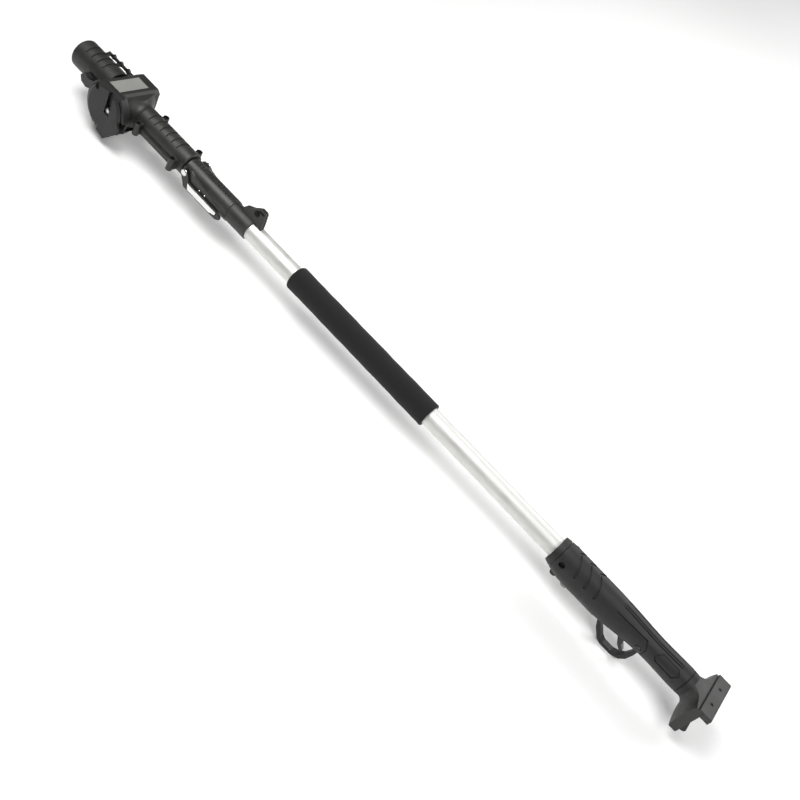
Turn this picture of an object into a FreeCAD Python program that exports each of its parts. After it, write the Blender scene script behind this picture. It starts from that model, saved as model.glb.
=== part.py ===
import FreeCAD, Part
import os
import re
import Sketcher

# Telescoping pole saw, collapsed. The pole runs along X: the saw head is at -X and the battery
# foot at +X. The chain side of the head faces -Y, the trigger hangs towards -Z, and Z = 0 is the
# lowest point of the trigger guard. Heights in the calls below count from the pole's axis.

Vector = FreeCAD.Vector
Rotation = FreeCAD.Rotation

doc = FreeCAD.newDocument("PoleSaw")
sheet = doc.addObject("Spreadsheet::Sheet", "Sizes")

DIMENSIONS = {
    # pole
    "axis_height": 60, "axis_side": 3, "tube_radius": 15, "tube_wall": 1.5, "tube_front": -343,
    "tube_back": 472,
    "slider_radius": 13, "slider_wall": 1.5, "slider_front": -464, "slider_back": 300,
    "foam_radius": 19.7, "foam_front": -160, "foam_back": 125, "foam_round": 4,
    "lead_radius": 4, "lead_front": -460, "lead_back": 385,
    # collar and its ear
    "collar_radius": 17, "collar_front": -301, "collar_back": -259, "ear_x": -261, "ear_half": 3.5,
    "ear_top": 44.5, "ear_screw_z": 33.5, "slot_z": 40,
    # flip-lock clamp
    "clamp_radius": 18.3, "clamp_front": -399, "clamp_step": -343, "clamp_gap": 0.2, "pin_x": -390,
    "pin_z": 5, "pin_head": 5.5, "tooth_pitch": 5.6, "lever_end": -303, "arm_in": 20.3,
    "arm_out": 22.8, "lever_top": -19, "lever_bottom": -22.5,
    # neck
    "neck_radius": 20, "neck_z": 3, "neck_front": -507, "neck_back": -399.6, "neck_split": -2,
    "neck_bore": 15.5,
    "lug_y": 27.5, "lug_radius": 5, "lug_front_x": -495, "lug_back_x": -415.5, "groove_width": 5,
    "groove_depth": 1.8, "neck_groove_x": -492, "neck_groove_pitch": 13,
    # gearbox
    "case_front": -579.5, "case_back": -531.5, "case_near": -32, "case_far": 40, "case_top": 28.5,
    "case_wall": 3.5, "flare_back": -507, "cover_x": -552, "cover_z": -5, "cover_radius": 41,
    "cover_face": -46, "cover_wall": 3, "stud_x": -542.5, "stud_z": -3, "stud_radius": 3,
    "output_x": -555.5, "output_radius": 4, "crown_teeth": 20, "crown_in": 14.5, "crown_out": 20,
    "crown_face": -5.4, "pinion_teeth": 8, "pinion_root": 5, "pinion_tip": 7.4,
    "tooth_width": 1.5, "sprocket_teeth": 6, "sprocket_radius": 9.5,
    # motor
    "motor_z": 5.5, "housing_radius": 24, "can_radius": 21, "housing_end": -657, "cap_end": -662,
    "motor_groove_x": -643, "motor_groove_pitch": 13, "shaft_radius": 2.5, "running_gap": 0.05,
    "rotor_radius": 16,
    # handle
    "mouth": 376, "handle_end": 621, "handle_wall": 3, "bolt_x": 397, "chevron_x": 402,
    "chevron_pitch": 18.5, "chevron_run": 16, "chevron_width": 3.2, "skin": 1.4,
    "guard_half": 5, "slot_half": 4.5, "trigger_half": 4, "button_x": 541, "button_z": -4,
    "button_radius": 4.5,
    # battery foot
    "wall_front": 640, "wall_back": 649.5, "foot_half": 37.5, "foot_top": 17, "foot_bottom": -40,
    "lip_front": 641, "lip_back": 662, "lip_top": 20, "lip_bottom": 9.5, "lip_half": 38,
}

for row, (alias, value) in enumerate(DIMENSIONS.items(), start=1):
    sheet.set(f"A{row}", alias)
    sheet.set(f"B{row}", str(value))
    sheet.setAlias(f"B{row}", alias)
doc.recompute()

WORD = re.compile(r"[A-Za-z_][A-Za-z_0-9]*")
parts = []


def cell(text):
    """An expression in which each driving dimension is a cell of the sheet."""
    return WORD.sub(lambda m: "Sizes." + m.group(0) if m.group(0) in DIMENSIONS else m.group(0),
                    str(text))


def number(text):
    """The value that an expression has now."""
    return float(sheet.evalExpression(cell(text)))


def place(item, x, y, z):
    """Bind a position that counts sideways and upwards from the pole axis."""
    for letter, value in (("x", x), ("y", f"axis_side + ({y})"), ("z", f"axis_height + ({z})")):
        item.setExpression(f"Placement.Base.{letter}", cell(value))


TURN = {"x": Rotation(Vector(0, 0, 1), Vector(1, 0, 0)),
        "y": Rotation(Vector(0, 0, 1), Vector(0, 1, 0)),
        "z": Rotation()}


def box(name, x0, x1, y0, y1, z0, z1):
    """A block between two corners."""
    solid = doc.addObject("Part::Box", name)
    for side, low, high in (("Length", x0, x1), ("Width", y0, y1), ("Height", z0, z1)):
        solid.setExpression(side, cell(f"({high}) - ({low})"))
    place(solid, x0, y0, z0)
    return solid


def rod(name, axis, radius, x, y, z, length):
    """A cylinder from (x, y, z) along an axis."""
    solid = doc.addObject("Part::Cylinder", name)
    solid.Placement = FreeCAD.Placement(Vector(), TURN[axis])
    solid.setExpression("Radius", cell(radius))
    solid.setExpression("Height", cell(length))
    place(solid, x, y, z)
    return solid


def cone(name, axis, radius, end_radius, x, y, z, length):
    """A tapered rod from (x, y, z) along an axis."""
    solid = doc.addObject("Part::Cone", name)
    solid.Placement = FreeCAD.Placement(Vector(), TURN[axis])
    solid.setExpression("Radius1", cell(radius))
    solid.setExpression("Radius2", cell(end_radius))
    solid.setExpression("Height", cell(length))
    place(solid, x, y, z)
    return solid


def join(name, *solids):
    """One shape of several."""
    union = doc.addObject("Part::MultiFuse", name)
    union.Shapes = list(solids)
    return union


def cut(name, base, *tools):
    """A shape less its tools."""
    result = doc.addObject("Part::Cut", name)
    result.Base = base
    result.Tool = tools[0] if len(tools) == 1 else join(name + "_tools", *tools)
    return result


def overlap(name, *solids):
    """What several shapes share."""
    result = doc.addObject("Part::MultiCommon", name)
    result.Shapes = list(solids)
    return result


def group(name, *solids):
    """Separate solids that share one node."""
    result = doc.addObject("Part::Compound", name)
    result.Links = list(solids)
    return result


def ring(name, axis, radius, bore, x, y, z, length):
    """A cylinder with a hole along it."""
    outer = rod(name + "_outer", axis, radius, x, y, z, length)
    inner = rod(name + "_bore", axis, bore, x, y, z, length)
    return cut(name, outer, inner)


def sketch_outline(body, role, points):
    """A closed sketch of straight lines, each corner bound to the sheet."""
    plane = [item for item in body.Origin.OriginFeatures if item.Role == role][0]
    sketch = body.newObject("Sketcher::SketchObject", body.Name + "_sketch")
    sketch.AttachmentSupport = [(plane, "")]
    sketch.MapMode = "FlatFace"
    places = [Vector(number(a), number(b), 0) for a, b in points]
    count = len(places)
    for index in range(count):
        sketch.addGeometry(Part.LineSegment(places[index], places[(index + 1) % count]))
    for index in range(count):
        sketch.addConstraint(Sketcher.Constraint("Coincident", index, 2, (index + 1) % count, 1))
    for index, (a, b) in enumerate(points):
        for kind, value, now in (("DistanceX", a, places[index].x),
                                 ("DistanceY", b, places[index].y)):
            number_of = sketch.addConstraint(Sketcher.Constraint(kind, -1, 1, index, 1, now))
            sketch.setExpression(f"Constraints[{number_of}]", cell(value))
    return sketch


def turned(name, points, axis="x", x=0, y=0, z=0):
    """A body of revolution: points are (distance along the axis, radius)."""
    body = doc.addObject("PartDesign::Body", name)
    sketch = sketch_outline(body, "XZ_Plane", points)
    revolve = body.newObject("PartDesign::Revolution", name + "_turn")
    revolve.Profile = sketch
    revolve.ReferenceAxis = (sketch, ["H_Axis"])
    revolve.Angle = 360
    body.Tip = revolve
    turn = {"x": Rotation(), "y": Rotation(Vector(0, 0, 1), 90),
            "z": Rotation(Vector(0, 1, 0), -90)}[axis]
    body.Placement = FreeCAD.Placement(Vector(), turn)
    place(body, x, y, z)
    return body


def plate(name, points, y_high, thickness, rounding=None, at=None):
    """A flat piece with its outline in X and Z, padded towards -Y from y_high."""
    body = doc.addObject("PartDesign::Body", name)
    pad = body.newObject("PartDesign::Pad", name + "_pad")
    pad.Profile = sketch_outline(body, "XZ_Plane", points)
    pad.setExpression("Length", cell(thickness))
    body.Tip = pad
    place(body, 0, y_high, 0)
    if rounding:
        doc.recompute()
        corners = [f"Edge{i}" for i, edge in enumerate(pad.Shape.Edges, start=1)
                   if runs_along_y(edge) and at(edge.CenterOfMass)]
        fillet = body.newObject("PartDesign::Fillet", name + "_round")
        fillet.Base = (pad, corners)
        fillet.Radius = rounding
        body.Tip = fillet
    return body


def runs_along_y(edge):
    """Whether a straight edge lies along Y."""
    ends = [vertex.Point for vertex in edge.Vertexes]
    return len(ends) == 2 and abs(abs((ends[1] - ends[0]).normalize().y) - 1) < 1e-6


def loft(name, sections):
    """A smooth skin through upright ellipses (x, half width, top, bottom) along the pole."""
    rings = []
    for index, (x, half, top, bottom) in enumerate(sections):
        ellipse = doc.addObject("Part::Ellipse", f"{name}_{index}")
        ellipse.Placement = FreeCAD.Placement(Vector(), Rotation(Vector(0, 1, 0), 90))
        ellipse.setExpression("MajorRadius", cell(f"(({top}) - ({bottom})) / 2"))
        ellipse.setExpression("MinorRadius", cell(half))
        place(ellipse, x, 0, f"(({top}) + ({bottom})) / 2")
        rings.append(ellipse)
    skin = doc.addObject("Part::Loft", name)
    skin.Sections = rings
    skin.Solid = True
    skin.Ruled = False
    return skin


def top_grooves(name, first_x, pitch, count, radius, z):
    """Cutter for shallow grooves that arch over the top of a round housing."""
    sweep = 84
    arcs = []
    for index in range(count):
        arc = rod(f"{name}_{index}", "x", f"{radius} + 2", f"{first_x} + {index} * {pitch}", 0, z,
                  "groove_width")
        arc.Angle = sweep
        arc.Placement = FreeCAD.Placement(
            arc.Placement.Base, TURN["x"].multiply(Rotation(Vector(0, 0, 1), 180 - sweep / 2)))
        place(arc, f"{first_x} + {index} * {pitch}", 0, z)
        arcs.append(arc)
    core = rod(name + "_core", "x", f"{radius} - groove_depth", f"{first_x} - 5", 0, z,
               f"{count} * {pitch} + 10")
    return cut(name, join(name + "_arcs", *arcs), core)


def hand_in(item, label):
    """Name a finished sub-part after its file."""
    item.Label = label
    parts.append(item)


def screw(name, axis, head, shank, start, head_length, length, way=1):
    """A slotted screw: its head's face is at start, and it runs along the axis, or back."""
    x, y, z = start
    points = [(0, 0), (0, head), (f"{way} * ({head_length})", head),
              (f"{way} * ({head_length})", shank), (f"{way} * ({length})", shank),
              (f"{way} * ({length})", 0)]
    solid = turned(name, points, axis, x, y, z)
    deep, long, wide = 0.6, 2.4, 0.5
    spans = {"x": (deep, long, wide), "y": (long, deep, wide), "z": (long, wide, deep)}[axis]
    corners = []
    for middle, span in zip(start, spans):
        corners += [f"({middle}) - {span}", f"({middle}) + {span}"]
    return cut(name + "_driven", solid, box(name + "_slot", *corners))


def make_motor():
    """Motor at the far end: cap, ribbed housing, can, magnets, rotor, fan and bearings."""
    cap = turned("cap", [("housing_end", "shaft_radius + 1"), ("housing_end", "housing_radius"),
                         ("housing_end - 2", "housing_radius"),
                         ("cap_end + 0.8", "housing_radius - 1.6"),
                         ("cap_end", "housing_radius - 4.5"), ("cap_end", 0),
                         ("housing_end - 2.4", 0), ("housing_end - 2.4", "shaft_radius + 1")],
                 z="motor_z")
    hand_in(cap, "motor_end_cap")
    shell = ring("housing", "x", "housing_radius", "can_radius", "housing_end", 0, "motor_z",
                 "case_front - housing_end")
    grooves = top_grooves("housing_groove", "motor_groove_x", "motor_groove_pitch", 4,
                          "housing_radius", "motor_z")
    hand_in(cut("housing_grooved", shell, grooves), "motor_housing")
    can = turned("can", [("housing_end + 1", 6.5), ("housing_end + 1", "can_radius"),
                         ("case_front - 14", "can_radius"), ("case_front - 14", 6.5),
                         ("case_front - 16", 6.5), ("case_front - 16", "can_radius - 1.5"),
                         ("housing_end + 3", "can_radius - 1.5"), ("housing_end + 3", 6.5)],
                 z="motor_z")
    hand_in(can, "motor_can")
    magnet = ring("magnet", "x", "can_radius - 1.5", "rotor_radius + 0.5", "housing_end + 14", 0,
                  "motor_z", 36)
    gap = box("magnet_gap", "housing_end", "case_front", -4, 4, -30, 40)
    hand_in(cut("magnets", magnet, gap), "stator_magnets")
    core = ring("core", "x", "rotor_radius", "shaft_radius", "housing_end + 15", 0, "motor_z", 33)
    slots = []
    for index in range(6):
        slot = box(f"core_slot_{index}", "housing_end", "case_front", -1.2, 1.2, 7, 20)
        slot.Placement = FreeCAD.Placement(slot.Placement.Base,
                                           Rotation(Vector(1, 0, 0), 60 * index))
        turn_y = f"-1.2 * cos({60 * index}) - 7 * sin({60 * index})"
        turn_z = f"-1.2 * sin({60 * index}) + 7 * cos({60 * index}) + motor_z"
        place(slot, "housing_end", turn_y, turn_z)
        slots.append(slot)
    hand_in(cut("core_slotted", core, *slots), "rotor_core")
    hand_in(rod("shaft", "x", "shaft_radius", "housing_end - 1", 0, "motor_z",
                "output_x - crown_in - 1 - (housing_end - 1)"), "motor_shaft")
    hand_in(ring("copper", "x", 6, "shaft_radius", "housing_end + 6.5", 0, "motor_z", 7),
            "commutator")
    blades = []
    for index in range(8):
        angle = 45 * index
        blade = box(f"blade_{index}", 0, 5, -0.6, 0.6, 4, 18)
        blade.Placement = FreeCAD.Placement(Vector(), Rotation(Vector(1, 0, 0), angle))
        place(blade, "case_front - 10", f"-0.6 * cos({angle}) - 4 * sin({angle})",
              f"-0.6 * sin({angle}) + 4 * cos({angle}) + motor_z")
        blades.append(blade)
    hub = rod("fan_hub", "x", 6, "case_front - 10", 0, "motor_z", 5)
    disc = rod("fan_disc", "x", 17, "case_front - 10", 0, "motor_z", 1.2)
    fan = join("fan_solid", hub, disc, *blades)
    hand_in(cut("fan", fan, rod("fan_bore", "x", "shaft_radius", "case_front - 12", 0, "motor_z",
                                10)), "cooling_fan")
    bearings = [ring(f"motor_bearing_{index}", "x", 6.5, "shaft_radius + running_gap", x, 0,
                     "motor_z", 4) for index, x in enumerate(("housing_end + 0.5",
                                                              "case_front - 17"))]
    hand_in(group("motor_bearing_pair", *bearings), "motor_bearings")


def make_gears():
    """Pinion on the motor shaft, crown gear, output shaft, bearings, sprocket and clip."""
    start = "output_x - crown_out"
    length = "crown_out - crown_in"
    body = rod("pinion_body", "x", "pinion_root", start, 0, "motor_z", length)
    teeth = []
    count = DIMENSIONS["pinion_teeth"]
    for index in range(count):
        angle = 360 / count * index
        tooth = box(f"pinion_tooth_{index}", 0, length, "-tooth_width / 2", "tooth_width / 2",
                    "pinion_root - 1", "pinion_tip")
        tooth.Placement = FreeCAD.Placement(Vector(), Rotation(Vector(1, 0, 0), angle))
        reach = "(pinion_root - 1)"
        place(tooth, start, f"-tooth_width / 2 * cos({angle}) - {reach} * sin({angle})",
              f"-tooth_width / 2 * sin({angle}) + {reach} * cos({angle}) + motor_z")
        teeth.append(tooth)
    pinion = join("pinion_solid", body, *teeth)
    bore = rod("pinion_bore", "x", "shaft_radius", start, 0, "motor_z", length)
    hand_in(cut("pinion", pinion, bore), "drive_pinion")
    disc = rod("crown_disc", "y", "crown_out", "output_x", "crown_face - 7", "motor_z", 4.4)
    teeth = []
    count = DIMENSIONS["crown_teeth"]
    for index in range(count):
        angle = 360 / count * (index + 0.5)
        tooth = box(f"crown_tooth_{index}", "crown_in", "crown_out", 0, 3.1, "-tooth_width / 2",
                    "tooth_width / 2")
        tooth.Placement = FreeCAD.Placement(Vector(), Rotation(Vector(0, 1, 0), angle))
        place(tooth, f"output_x + crown_in * cos({angle}) - tooth_width / 2 * sin({angle})",
              "crown_face - 3.1",
              f"motor_z - crown_in * sin({angle}) - tooth_width / 2 * cos({angle})")
        teeth.append(tooth)
    crown = join("crown_solid", disc, *teeth)
    bore = rod("crown_bore", "y", "output_radius", "output_x", "crown_face - 8", "motor_z", 12)
    hand_in(cut("crown", crown, bore), "crown_gear")
    hand_in(rod("output", "y", "output_radius", "output_x", -40, "motor_z", 72), "output_shaft")
    bearings = [ring(f"output_bearing_{index}", "y", 9, "output_radius + running_gap", "output_x",
                     y, "motor_z", 6) for index, y in enumerate((-21, 27))]
    hand_in(group("output_bearing_pair", *bearings), "output_bearings")
    rim = rod("sprocket_rim", "y", "sprocket_radius - 2.4", "output_x", -38.5, "motor_z", 3)
    hub = rod("sprocket_hub", "y", 6, "output_x", -38.5, "motor_z", 4.5)
    teeth = []
    count = DIMENSIONS["sprocket_teeth"]
    for index in range(count):
        angle = 360 / count * index
        tooth = box(f"sprocket_tooth_{index}", 5, "sprocket_radius", 0, 3, -1.6, 1.6)
        tooth.Placement = FreeCAD.Placement(Vector(), Rotation(Vector(0, 1, 0), angle))
        place(tooth, f"output_x + 5 * cos({angle}) - 1.6 * sin({angle})", -38.5,
              f"motor_z - 5 * sin({angle}) - 1.6 * cos({angle})")
        teeth.append(tooth)
    sprocket = join("sprocket_solid", rim, hub, *teeth)
    bore = rod("sprocket_bore", "y", "output_radius", "output_x", -39, "motor_z", 6)
    hand_in(cut("sprocket", sprocket, bore), "chain_sprocket")
    hand_in(ring("clip", "y", 6, "output_radius", "output_x", -39.6, "motor_z", 1),
            "sprocket_clip")


def make_gearbox():
    """Gearbox case with its flare to the neck, top panel, bar plate and stud."""
    block = plate("case_block", [("case_front", -24), ("case_front", 24), ("case_front + 6", "case_top"),
                                 ("case_back - 6", "case_top"), ("case_back", 24), ("case_back", -24),
                                 ("case_back - 6", -30), ("case_front + 6", -30)],
                  "case_far", "case_far - case_near")
    backing = rod("case_backing", "y", "cover_radius - 1", "cover_x", "case_near", "cover_z", 4)
    top_limit = box("backing_limit", "case_front - 20", "case_back + 30", "case_near", "case_far",
                    -60, "case_top")
    flare_skin = loft("case_flare", [("case_back - 4", 44, "44", "-44"),
                                     ("case_back + 3", 33, "33", "-33"),
                                     ("case_back + 12", 24, "24", "-24"),
                                     ("flare_back", "neck_radius", "neck_radius + neck_z",
                                      "neck_z - neck_radius")])
    flare_limit = box("flare_limit", "case_back - 4", "flare_back", "case_near", "case_far", -26,
                      "case_top - 3")
    flare = overlap("flare", flare_skin, flare_limit)
    skirt = plate("case_skirt", [("cover_x", -20), ("case_back - 2", -49), ("case_back + 20", -24),
                                 ("case_back + 20", -10), ("cover_x", 0)], "0", "-case_near")
    slope = box("skirt_slope", "case_front - 20", "case_back + 40", 0, 70, -60, 0)
    slope.Placement = FreeCAD.Placement(Vector(), Rotation(Vector(1, 0, 0), 38))
    place(slope, "case_front - 20", "case_near", -47)
    skirt_bite = rod("skirt_bite", "y", 60, "case_back + 50", "case_near - 5", -75, 50)
    solid = join("case_solid", block, overlap("backing", backing, top_limit), flare,
                 cut("skirt_trimmed", skirt, slope, skirt_bite))
    cavity = box("case_cavity", "output_x - crown_out - 1.5", "case_back - case_wall", -26,
                 "case_far - case_wall", "motor_z - crown_out - 0.8", "motor_z + crown_out + 0.8")
    passage = rod("shaft_passage", "x", 9, "case_front - 5", 0, "motor_z", 12)
    neck_bore = rod("neck_passage", "x", 8, "case_back - 10", 0, 0, 50)
    output_bore = rod("output_passage", "y", 9, "output_x", "case_near - 2", "motor_z", 20)
    stud_bore = rod("stud_passage", "y", "stud_radius", "stud_x", "case_near - 1", "stud_z", 7)
    panel_seat = box("panel_seat", "case_front + 11", "case_back - 12", -30.3, 26.3, "case_top - 0.9",
                     "case_top + 1")
    shell = cut("case_shell", solid, cavity, passage, neck_bore, output_bore, stud_bore,
                panel_seat)
    far_seat = ring("far_seat", "y", 12, 9, "output_x", 26, "motor_z", 11)
    near_seat = ring("near_seat", "y", 12, 9, "output_x", -26.5, "motor_z", 11)
    hand_in(join("case", shell, far_seat, near_seat), "gearbox_case")
    panel = box("panel", "case_front + 11.3", "case_back - 12.3", -30, 26, "case_top - 0.9",
                "case_top - 0.2")
    hand_in(panel, "top_panel")
    plate_disc = rod("bar_plate_disc", "y", 25, "cover_x", "case_near - 1.5", "cover_z", 1.5)
    plate_holes = [rod("bar_plate_shaft_hole", "y", 12, "output_x", "case_near - 3", "motor_z", 5),
                   rod("bar_plate_stud_hole", "y", "stud_radius", "stud_x", "case_near - 3",
                       "stud_z", 5)]
    hand_in(cut("bar_plate_solid", plate_disc, *plate_holes), "bar_plate")
    hand_in(rod("stud", "y", "stud_radius", "stud_x", "cover_face + 2", "stud_z",
                "case_near + 5 - (cover_face + 2)"), "bar_stud")
    nut = doc.addObject("Part::Prism", "nut_hexagon")
    nut.Polygon = 6
    nut.Circumradius = 5
    nut.Height = 3
    nut.Placement = FreeCAD.Placement(Vector(), TURN["y"])
    place(nut, "stud_x", "cover_face + 1.6", "stud_z")
    flange = rod("nut_flange", "y", 5.5, "stud_x", "cover_face + 3.6", "stud_z", 1.4)
    nut_bore = rod("nut_bore", "y", "stud_radius", "stud_x", "cover_face - 1", "stud_z", 8)
    hand_in(cut("nut", join("nut_solid", nut, flange), nut_bore), "cover_nut")


def make_cover():
    """Sprocket cover: a chamfered cup, open towards the bar, drawn out to a point behind it."""
    depth = "case_near - cover_face"
    chamfer = 5.5
    bevel_run = 9
    disc = rod("cover_disc", "y", "cover_radius", "cover_x", f"cover_face + {chamfer}", "cover_z",
               f"{depth} - {chamfer}")
    bevel = cone("cover_bevel", "y", f"cover_radius - {bevel_run}", "cover_radius", "cover_x",
                 "cover_face", "cover_z", chamfer)
    wedge = plate("cover_wedge", [("cover_x", "cover_z - cover_radius + 2"), ("cover_x", 10),
                                  ("case_back + 2", 10), ("case_back + 20", -12),
                                  ("case_back + 20", -24), ("case_back - 2", -49)],
                  "case_near", depth)
    concave = rod("cover_concave", "y", 60, "case_back + 50", "cover_face - 5", -75, 40)
    limit = box("cover_limit", "case_front - 30", "case_back + 40", "cover_face", "case_near", -60,
                "case_top - 0.6")
    solid = overlap("cover_limited", cut("cover_open", join("cover_solid", disc, bevel, wedge),
                                         concave), limit)
    hollow_disc = rod("cover_hollow", "y", "cover_radius - cover_wall", "cover_x",
                      "cover_face + cover_wall", "cover_z", 20)
    hollow_limit = box("cover_hollow_limit", "case_front - 30", "case_back + 40", "cover_face",
                       "case_near + 10", -60, "case_top - 4")
    mouth = box("cover_mouth", 0, 60, 0, 9, -14, 14)
    mouth.Placement = FreeCAD.Placement(Vector(), Rotation(Vector(0, 1, 0), 48))
    place(mouth, "cover_x + 4", "cover_face + cover_wall", "cover_z")
    channel = box("cover_channel", "stud_x - 5.5", "stud_x + 5.5", "cover_face - 1",
                  "cover_face + 5", "stud_z - 6", "case_top")
    floor = box("channel_floor", "stud_x - 8", "stud_x + 8", "cover_face + 5", "cover_face + 7.5",
                "stud_z - 8", "case_top - 2")
    boss = rod("stud_boss", "y", 8, "stud_x", "cover_face + 5", "stud_z", 4)
    shaft_room = rod("cover_shaft_room", "y", 11, "output_x", "cover_face + cover_wall", "motor_z",
                     12)
    stud_hole = rod("cover_stud_hole", "y", "stud_radius + 0.2", "stud_x", "cover_face - 1",
                    "stud_z", 14)
    recess = rod("cover_recess", "y", 5, "cover_x - 22", "cover_face - 1", "cover_z + 24", 6)
    screw_hole = rod("cover_screw_hole", "y", 2, "cover_x - 22", "cover_face", "cover_z + 24", 20)
    pillar = rod("cover_pillar", "y", 6.5, "cover_x - 22", "cover_face + cover_wall",
                 "cover_z + 24", "case_near - cover_face - cover_wall")
    shell = cut("cover_shell", solid, overlap("cover_hollowed", hollow_disc, hollow_limit), mouth)
    walls = join("cover_walls", shell, cut("cover_floor", join("floor_and_boss", floor, boss),
                                           shaft_room), pillar)
    walls = overlap("cover_trimmed", walls, box("cover_box", "case_front - 30", "case_back + 40",
                                                "cover_face", "case_near", -60,
                                                "case_top - 0.6"))
    hand_in(cut("cover", walls, channel, stud_hole, recess, screw_hole), "sprocket_cover")
    hand_in(screw("cover_fixing", "y", 3.6, 2, ("cover_x - 22", "cover_face + 2.6", "cover_z + 24"),
                  2.4, "case_near - cover_face - 2.6"), "cover_screw")


def make_head_trim():
    """Toothed rail on the far side of the motor and limb hook on the near side."""
    rail = box("rail_bar", "housing_end + 12", "case_front + 1", 31, 35, 13, 16.5)
    bumps = [rod(f"rail_bump_{index}", "y", 4, f"housing_end + 24.5 + {index} * 17.5", 31, 15.5, 4)
             for index in range(3)]
    feet = [box(f"rail_foot_{index}", f"housing_end + 13 + {index} * 26",
                f"housing_end + 19 + {index} * 26", 20, 32, 13.2, 16.2) for index in range(3)]
    clear = rod("rail_clear", "x", "housing_radius", "housing_end - 5", 0, "motor_z", 90)
    block = box("rail_block", "case_front", "case_front + 5", 20, 40, 0, 20)
    hand_in(cut("rail", join("rail_solid", rail, *bumps, *feet), clear, block), "toothed_rail")
    hook = plate("hook_arm", [("case_front - 43", 0), ("case_front - 39", -8),
                              ("case_front - 28", -11), ("case_front - 14", -6),
                              ("case_front", -4), ("case_front", 10), ("case_front - 14", 9),
                              ("case_front - 26", 5), ("case_front - 37", 8)],
                 "-housing_radius - 0.2", 9.8)
    clear_hook = rod("hook_clear", "x", "housing_radius + 0.1", "housing_end - 5", 0, "motor_z",
                     "case_front - housing_end + 6")
    cover_room = rod("hook_cover_room", "y", "cover_radius + 0.1", "cover_x", -50, "cover_z", 22.1)
    hand_in(cut("hook", hook, clear_hook, cover_room), "limb_hook")


def make_neck():
    """Two neck shells bolted round the inner tube, four screws, inner tube and its bush."""
    barrel = turned("neck_barrel", [("neck_front", 8), ("neck_front", "neck_radius"),
                                    ("neck_back - 1.5", "neck_radius"),
                                    ("neck_back", "neck_radius - 1.5"),
                                    ("neck_back", 8)], z="neck_z")
    hollow = rod("neck_hollow", "x", "neck_bore", "neck_front - 1", 0, 0,
                 "slider_front - 6 - neck_front")
    rail = box("neck_rail", "neck_front + 2", "neck_back - 11", -24.5, 24.5, -5.5, 1.5)
    slide_bore = rod("neck_slide_bore", "x", "slider_radius", "neck_front - 1", 0, 0, 130)
    core = rod("neck_core", "x", "neck_radius - 2", "neck_front - 5", 0, "neck_z", 130)
    lugs = []
    sinks = []
    for index, x in enumerate(("lug_front_x", "lug_back_x")):
        for side in (-1, 1):
            tag = f"{index}_{side + 1}"
            lugs.append(rod(f"lug_{tag}", "z", "lug_radius", x, f"{side} * lug_y", -10, 21))
            lugs.append(box(f"lug_web_{tag}", f"{x} - 4.5", f"{x} + 4.5", f"{side} * 22 - 5.5",
                            f"{side} * 22 + 5.5", -8.5, 9.5))
            sinks.append(rod(f"lug_sink_{tag}", "z", 3.8, x, f"{side} * lug_y", 8.8, 4))
            sinks.append(rod(f"lug_hole_{tag}", "z", 1.8, x, f"{side} * lug_y", -9, 19))
    grooves = top_grooves("neck_groove", "neck_groove_x", "neck_groove_pitch", 6, "neck_radius",
                         "neck_z")
    outside = cut("neck_outside", join("neck_flange", rail, *lugs), core)
    whole = cut("neck_whole", join("neck_solid", barrel, outside), hollow, slide_bore, grooves,
                *sinks)
    upper = box("neck_upper_space", "neck_front - 5", "neck_back + 5", -40, 40, "neck_split", 40)
    lower = box("neck_lower_space", "neck_front - 5", "neck_back + 5", -40, 40, -40, "neck_split")
    hand_in(overlap("neck_upper", whole, upper), "neck_upper_shell")
    hand_in(overlap("neck_lower", whole, lower), "neck_lower_shell")
    screws = [screw(f"neck_screw_{index}_{side + 1}", "z", 3.6, 1.8, (x, f"{side} * lug_y", 11.5),
                    2.7, 19, -1) for index, x in enumerate(("lug_front_x", "lug_back_x"))
              for side in (-1, 1)]
    hand_in(group("neck_screw_set", *screws), "neck_screws")
    hand_in(ring("slider", "x", "slider_radius", "slider_radius - slider_wall", "slider_front", 0,
                 0, "slider_back - slider_front"), "inner_tube")
    bush = turned("bush", [("slider_back - 12", 8), ("slider_back - 12", "slider_radius - slider_wall"),
                           ("slider_back", "slider_radius - slider_wall"),
                           ("slider_back", "tube_radius - tube_wall - 0.1"),
                           ("slider_back + 7", "tube_radius - tube_wall - 0.1"),
                           ("slider_back + 7", 8)])
    hand_in(bush, "guide_bush")


def make_pole():
    """Outer tube, foam sleeve and the coiled lead, shown as its closed outline."""
    tube = ring("pole_tube", "x", "tube_radius", "tube_radius - tube_wall", "tube_front", 0, 0,
                "tube_back - tube_front")
    hand_in(cut("pole_tube_drilled", tube, rod("tube_cross_hole", "y", 2.5, "bolt_x", -20, 4, 40)),
            "outer_tube")
    foam = turned("foam", [("foam_front", "tube_radius"), ("foam_front", "foam_radius - foam_round"),
                           ("foam_front + 1", "foam_radius - 1.2"),
                           ("foam_front + foam_round", "foam_radius"),
                           ("foam_back - 1", "foam_radius"), ("foam_back", "foam_radius - 1"),
                           ("foam_back", "tube_radius")])
    hand_in(foam, "foam_grip")
    hand_in(rod("lead", "x", "lead_radius", "lead_front", 0, 0, "lead_back - lead_front"),
            "coiled_lead")


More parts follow.
